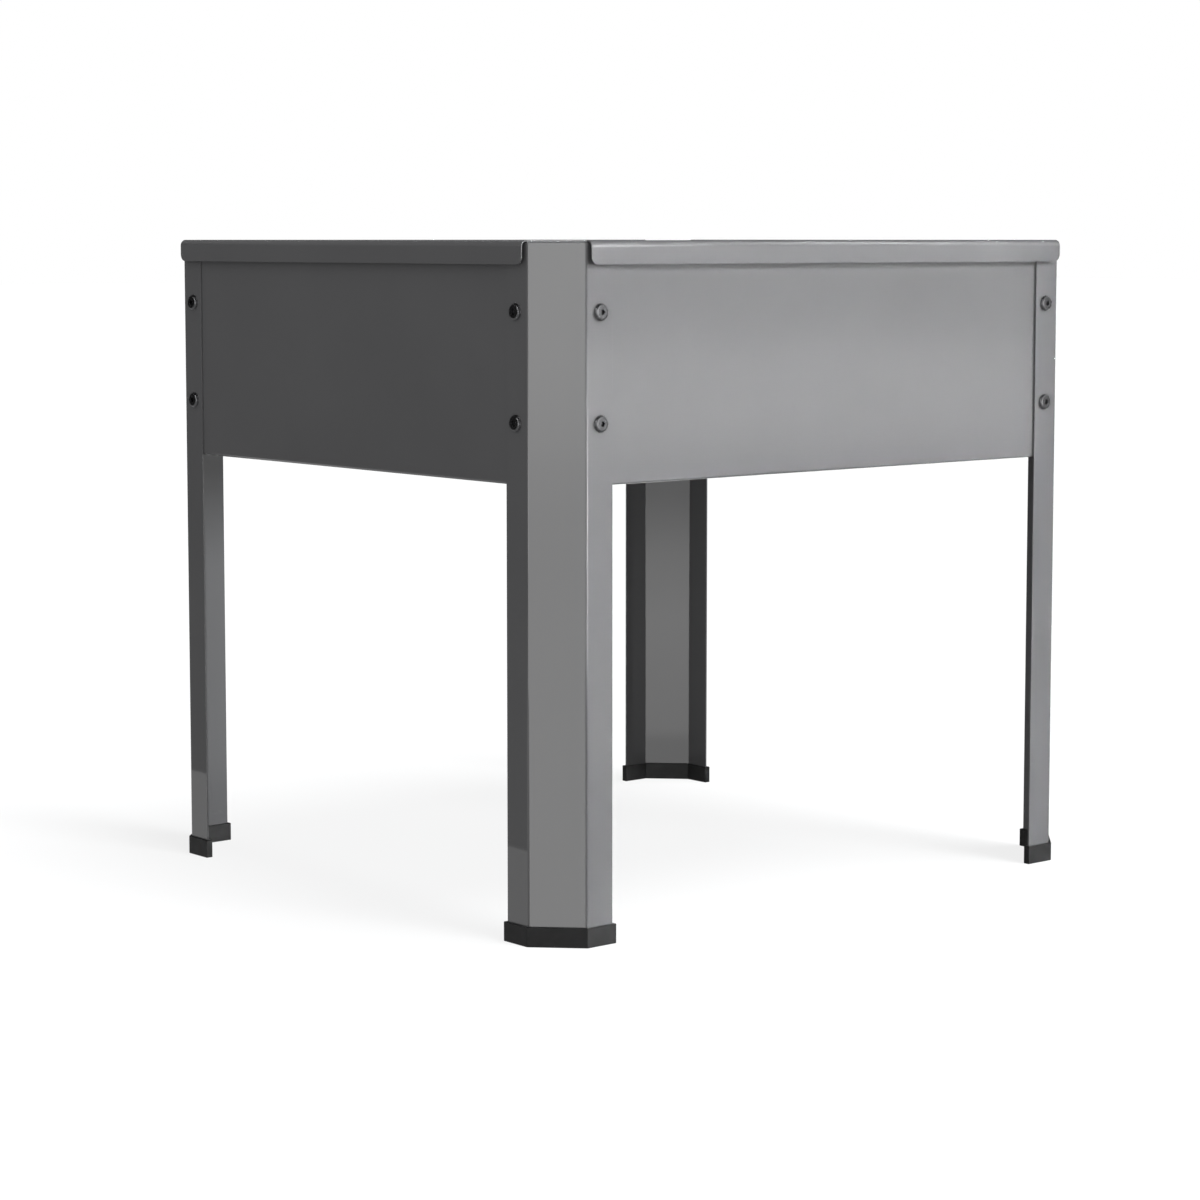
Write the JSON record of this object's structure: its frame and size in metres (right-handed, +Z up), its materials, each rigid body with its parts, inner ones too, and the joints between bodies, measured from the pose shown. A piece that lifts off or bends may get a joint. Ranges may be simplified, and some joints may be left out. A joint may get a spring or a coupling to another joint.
{
  "type": "raised planter on legs",
  "caption": "Rectangular raised garden planter: a sheet steel box with rolled rims, bolted inside folded corner legs with plastic foot caps.",
  "frame": {"origin": "on the ground at the centre of the footprint", "axes": "+Z up, +X to the right along the longer side, -Y out of the front panel"},
  "size_m": [0.609, 0.559, 0.55],
  "materials": {
    "powder_coat": "semi-gloss graphite grey powder coat",
    "cap_plastic": "moulded black plastic",
    "black_steel": "dark plated steel",
    "zinc_plate": "bright zinc plated steel"
  },
  "bodies": {
    "root": {"leg_front_left": "powder_coat", "leg_front_right": "powder_coat", "leg_back_right": "powder_coat", "leg_back_left": "powder_coat", "front_panel": "powder_coat", "right_panel": "powder_coat", "back_panel": "powder_coat", "left_panel": "powder_coat", "floor_pan": "powder_coat", "floor_bar_left": "powder_coat", "floor_bar_right": "powder_coat", "foot_cap_front_left": "cap_plastic", "foot_cap_front_right": "cap_plastic", "foot_cap_back_right": "cap_plastic", "foot_cap_back_left": "cap_plastic", "bolts_front_left": "black_steel", "bolts_front_right": "black_steel", "bolts_back_right": "black_steel", "bolts_back_left": "black_steel", "washers_front_left": "zinc_plate", "washers_front_right": "zinc_plate", "washers_back_right": "zinc_plate", "washers_back_left": "zinc_plate", "nuts_front_left": "zinc_plate", "nuts_front_right": "zinc_plate", "nuts_back_right": "zinc_plate", "nuts_back_left": "zinc_plate"}
  },
  "joints": []
}
